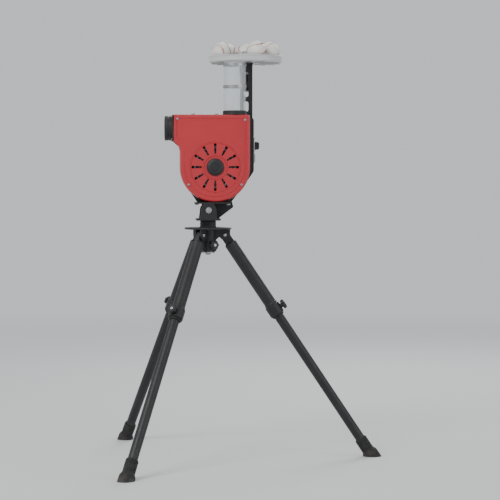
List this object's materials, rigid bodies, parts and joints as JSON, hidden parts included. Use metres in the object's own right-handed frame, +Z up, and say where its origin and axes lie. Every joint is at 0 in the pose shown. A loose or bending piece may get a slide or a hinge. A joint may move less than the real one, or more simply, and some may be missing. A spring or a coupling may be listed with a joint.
{
  "type": "baseball pitching machine",
  "caption": "Single-wheel baseball pitching machine: motor-driven wheel in a red housing with a carousel ball feeder, on a swivelling, tilting head and folding tripod.",
  "frame": {"origin": "on the ground, at the middle of the box around the machine", "axes": "+Z up, the ball is thrown along -X, +Y is towards the motor's side"},
  "size_m": [0.9975, 1.1428, 1.5608],
  "materials": {
    "black_steel": "satin powder coat",
    "zinc_steel": "zinc plated",
    "red_shell": "satin moulded",
    "rubber": "matt",
    "black_plastic": "fine texture",
    "alloy": "cast, bead blasted",
    "motor_black": "semi gloss",
    "clear_tube": "clear polycarbonate",
    "grey_plastic": "moulded",
    "ball_leather": "white cowhide"
  },
  "bodies": {
    "tripod": {"tripod_hub": "black_steel", "leg_hinge_pin_1": "zinc_steel", "leg_hinge_pin_2": "zinc_steel", "leg_hinge_pin_3": "zinc_steel"},
    "leg_1": {"leg_socket_1": "black_steel"},
    "leg_1_extension": {"leg_tube_1": "black_steel", "leg_foot_1": "rubber"},
    "leg_1_lock": {"leg_lock_knob_1": "black_plastic"},
    "leg_2": {"leg_socket_2": "black_steel"},
    "leg_2_extension": {"leg_tube_2": "black_steel", "leg_foot_2": "rubber"},
    "leg_2_lock": {"leg_lock_knob_2": "black_plastic"},
    "leg_3": {"leg_socket_3": "black_steel"},
    "leg_3_extension": {"leg_tube_3": "black_steel", "leg_foot_3": "rubber"},
    "leg_3_lock": {"leg_lock_knob_3": "black_plastic"},
    "swivel_lock": {"swivel_lock_knob": "black_plastic"},
    "swivel": {"tilt_yoke": "black_steel", "tilt_pivot_bolt": "zinc_steel", "tilt_pivot_nut": "zinc_steel", "swivel_retainer_bolt": "zinc_steel"},
    "head": {"main_frame": "black_steel", "housing_left": "red_shell", "housing_right": "red_shell", "hub_cap": "black_plastic", "cover_screw_1": "zinc_steel", "cover_screw_2": "zinc_steel", "cover_screw_3": "zinc_steel", "cover_screw_4": "zinc_steel", "muzzle_collar": "black_plastic", "feed_trough": "alloy", "pinch_plate": "alloy", "pinch_pad": "rubber", "motor_front_bell": "alloy", "motor_can": "motor_black", "motor_rear_bell": "alloy", "control_box": "black_plastic", "control_panel": "alloy", "switch_bezel": "black_plastic", "power_inlet": "black_plastic", "drop_tube": "clear_tube", "feeder_mast": "black_steel", "feeder_gearbox": "alloy", "feeder_motor": "motor_black", "feeder_tray": "grey_plastic"},
    "tilt_lock": {"tilt_lock_knob": "black_plastic"},
    "wheel": {"wheel_rim": "alloy", "wheel_tyre": "rubber", "wheel_nut": "zinc_steel", "motor_armature": "zinc_steel"},
    "star": {"star_wheel": "grey_plastic", "star_shaft": "zinc_steel", "baseball_1": "ball_leather", "baseball_2": "ball_leather", "baseball_3": "ball_leather", "baseball_4": "ball_leather", "baseball_5": "ball_leather", "baseball_6": "ball_leather"},
    "speed_dial": {"speed_knob": "black_plastic"},
    "switch": {"switch_rocker": "rubber"}
  },
  "joints": [
    {"name": "leg_1_fold", "type": "hinge", "parent": "tripod", "child": "leg_1", "pos_m": [-0.0953, 0, 0.838], "axis": [0, 1, 0], "range_deg": [0, 33.5]},
    {"name": "leg_1_extend", "type": "slide", "parent": "leg_1", "child": "leg_1_extension", "axis": [0.5542, 0, -0.8324], "range_m": [0, 0.15]},
    {"name": "leg_1_lock_turn", "type": "hinge", "parent": "leg_1", "child": "leg_1_lock", "pos_m": [0.09259, 0, 0.55583], "axis": [0.8324, 0, 0.5542], "range_deg": [0, 270]},
    {"name": "leg_2_fold", "type": "hinge", "parent": "tripod", "child": "leg_2", "pos_m": [-0.1883, 0.05369, 0.838], "axis": [-0.866, -0.5, 0], "range_deg": [0, 33.5]},
    {"name": "leg_2_extend", "type": "slide", "parent": "leg_2", "child": "leg_2_extension", "axis": [-0.2771, 0.48, -0.8324], "range_m": [0, 0.15]},
    {"name": "leg_2_lock_turn", "type": "hinge", "parent": "leg_2", "child": "leg_2_lock", "pos_m": [-0.28224, 0.21641, 0.55583], "axis": [-0.4162, 0.7208, 0.5542], "range_deg": [0, 270]},
    {"name": "leg_3_fold", "type": "hinge", "parent": "tripod", "child": "leg_3", "pos_m": [-0.1883, -0.05369, 0.838], "axis": [0.866, -0.5, 0], "range_deg": [0, 33.5]},
    {"name": "leg_3_extend", "type": "slide", "parent": "leg_3", "child": "leg_3_extension", "axis": [-0.2771, -0.48, -0.8324], "range_m": [0, 0.15]},
    {"name": "leg_3_lock_turn", "type": "hinge", "parent": "leg_3", "child": "leg_3_lock", "pos_m": [-0.28224, -0.21641, 0.55583], "axis": [-0.4162, -0.7208, 0.5542], "range_deg": [0, 270]},
    {"name": "swivel_lock_turn", "type": "hinge", "parent": "tripod", "child": "swivel_lock", "pos_m": [-0.1573, 0, 0.8], "axis": [0.5, -0.866, 0], "range_deg": [0, 270]},
    {"name": "swivel", "type": "hinge", "parent": "tripod", "child": "swivel", "pos_m": [-0.1573, 0, 0.85], "axis": [0, 0, 1], "range_deg": [-180, 180]},
    {"name": "tilt", "type": "hinge", "parent": "swivel", "child": "head", "pos_m": [-0.1573, 0, 0.93], "axis": [0, 1, 0], "range_deg": [-10, 40]},
    {"name": "tilt_lock_turn", "type": "hinge", "parent": "head", "child": "tilt_lock", "pos_m": [-0.1173, 0.07, 0.99928], "axis": [0, 1, 0], "range_deg": [0, 270]},
    {"name": "wheel_spin", "type": "hinge", "parent": "head", "child": "wheel", "pos_m": [-0.1323, 0, 1.09], "axis": [0, 1, 0], "continuous": true},
    {"name": "star_turn", "type": "hinge", "parent": "head", "child": "star", "pos_m": [-0.01105, 0.08011, 1.49], "axis": [0, 0, 1], "continuous": true},
    {"name": "speed_dial_turn", "type": "hinge", "parent": "head", "child": "speed_dial", "pos_m": [0.021, 0.0885, 1.172], "axis": [-1, 0, 0], "range_deg": [0, 300]},
    {"name": "switch_rock", "type": "hinge", "parent": "head", "child": "switch", "pos_m": [0.0225, 0.109, 1.126], "axis": [0, -1, 0], "range_deg": [0, 15]}
  ]
}
